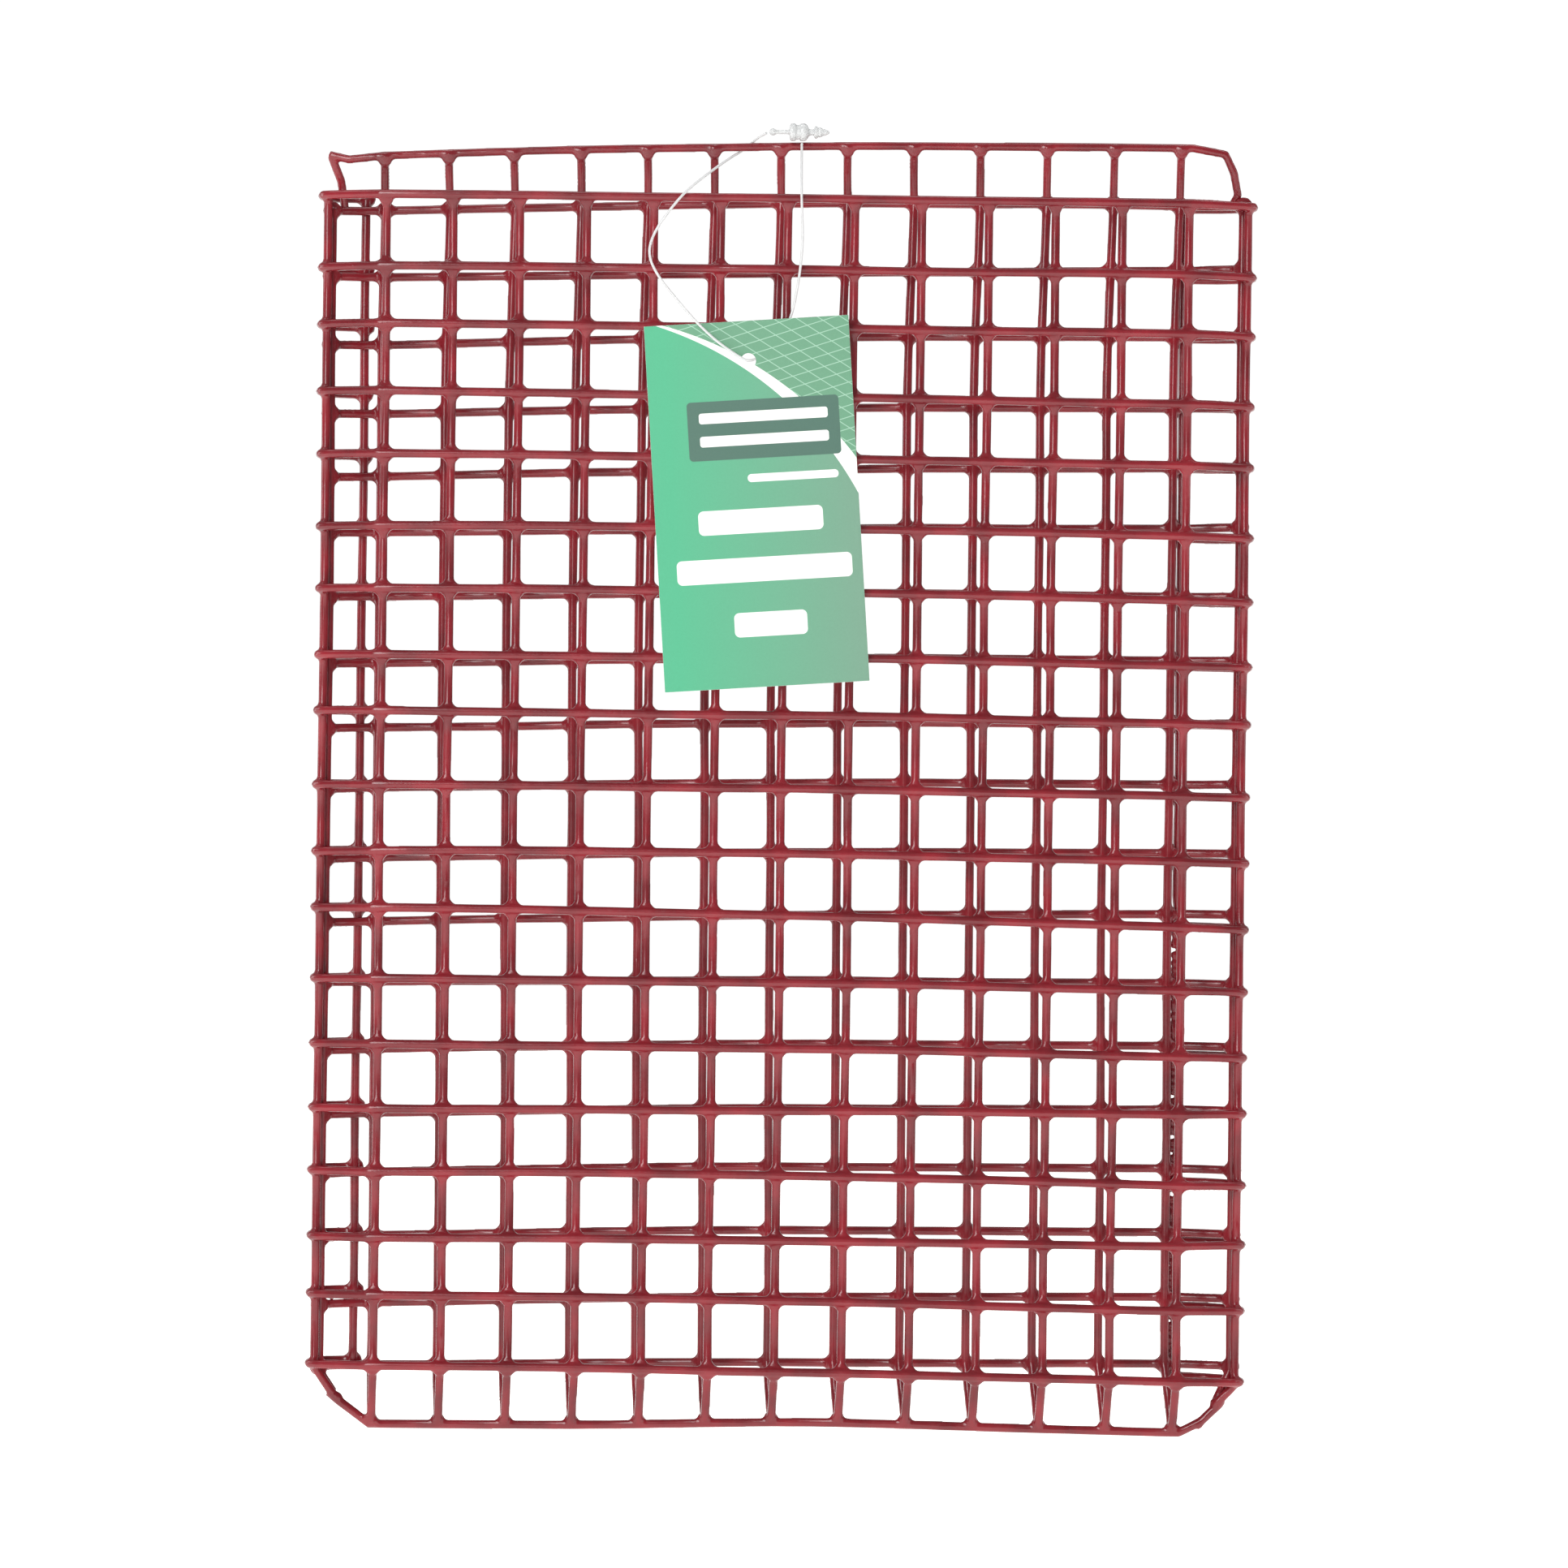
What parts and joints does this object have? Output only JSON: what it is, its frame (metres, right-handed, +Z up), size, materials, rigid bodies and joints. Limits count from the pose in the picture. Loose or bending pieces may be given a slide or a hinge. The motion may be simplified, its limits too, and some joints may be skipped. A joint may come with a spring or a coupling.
{
  "type": "bait bag",
  "caption": "Flat pouch of plastic-dipped red welded wire mesh, open at the top with a fold-over flap, and a swing card on a clear snap loop.",
  "frame": {"origin": "middle of the top wire of the flap, where the bag hangs from a hook", "axes": "+Z up the bag to its mouth, +X across the bag, -Y out of the front"},
  "size_m": [0.1804, 0.0207, 0.2492],
  "materials": {
    "dipped_wire": "glossy PVC dip over steel wire",
    "printed_card": "coated card, printed both sides, satin",
    "clear_nylon": "clear moulded nylon"
  },
  "bodies": {
    "bag": {"front_cross_wire_01": "dipped_wire", "front_cross_wire_02": "dipped_wire", "front_cross_wire_03": "dipped_wire", "front_cross_wire_04": "dipped_wire", "front_cross_wire_05": "dipped_wire", "front_cross_wire_06": "dipped_wire", "front_cross_wire_07": "dipped_wire", "front_cross_wire_08": "dipped_wire", "front_cross_wire_09": "dipped_wire", "front_cross_wire_10": "dipped_wire", "front_cross_wire_11": "dipped_wire", "front_cross_wire_12": "dipped_wire", "front_cross_wire_13": "dipped_wire", "front_cross_wire_14": "dipped_wire", "front_cross_wire_15": "dipped_wire", "front_cross_wire_16": "dipped_wire", "front_cross_wire_17": "dipped_wire", "front_cross_wire_18": "dipped_wire", "front_cross_wire_19": "dipped_wire", "back_cross_wire_01": "dipped_wire", "back_cross_wire_02": "dipped_wire", "back_cross_wire_03": "dipped_wire", "back_cross_wire_04": "dipped_wire", "back_cross_wire_05": "dipped_wire", "back_cross_wire_06": "dipped_wire", "back_cross_wire_07": "dipped_wire", "back_cross_wire_08": "dipped_wire", "back_cross_wire_09": "dipped_wire", "back_cross_wire_10": "dipped_wire", "back_cross_wire_11": "dipped_wire", "back_cross_wire_12": "dipped_wire", "back_cross_wire_13": "dipped_wire", "back_cross_wire_14": "dipped_wire", "back_cross_wire_15": "dipped_wire", "back_cross_wire_16": "dipped_wire", "back_cross_wire_17": "dipped_wire", "back_cross_wire_18": "dipped_wire", "back_cross_wire_19": "dipped_wire", "upright_wire_01": "dipped_wire", "upright_wire_02": "dipped_wire", "upright_wire_03": "dipped_wire", "upright_wire_04": "dipped_wire", "upright_wire_05": "dipped_wire", "upright_wire_06": "dipped_wire", "upright_wire_07": "dipped_wire", "upright_wire_08": "dipped_wire", "upright_wire_09": "dipped_wire", "upright_wire_10": "dipped_wire", "upright_wire_11": "dipped_wire", "upright_wire_12": "dipped_wire", "upright_wire_13": "dipped_wire", "rim_wire": "dipped_wire", "left_back_edge_wire": "dipped_wire", "right_back_edge_wire": "dipped_wire", "left_flange_wire": "dipped_wire", "right_flange_wire": "dipped_wire"},
    "flap": {"flap": "dipped_wire"},
    "loop": {"tag_loop": "clear_nylon", "loop_lock": "clear_nylon"},
    "card": {"swing_card": "printed_card"}
  },
  "joints": [
    {"name": "flap_fold", "type": "hinge", "parent": "bag", "child": "flap", "pos_m": [0, 0.00405, -0.0115], "axis": [0.9999, 0, 0.0172], "range_deg": [0, 30]},
    {"name": "loop_hang", "type": "hinge", "parent": "flap", "child": "loop", "pos_m": [0, 0, 0], "axis": [0.9999, 0, 0.0172], "range_deg": [-30, 0]},
    {"name": "card_swing", "type": "hinge", "parent": "loop", "child": "card", "pos_m": [-0.0072, -0.0086, -0.0415], "axis": [0, 1, 0], "range_deg": [-20, 20]}
  ],
  "couplings": [
    {"joint": "loop_hang", "follows": "flap_fold", "ratio": -1}
  ]
}
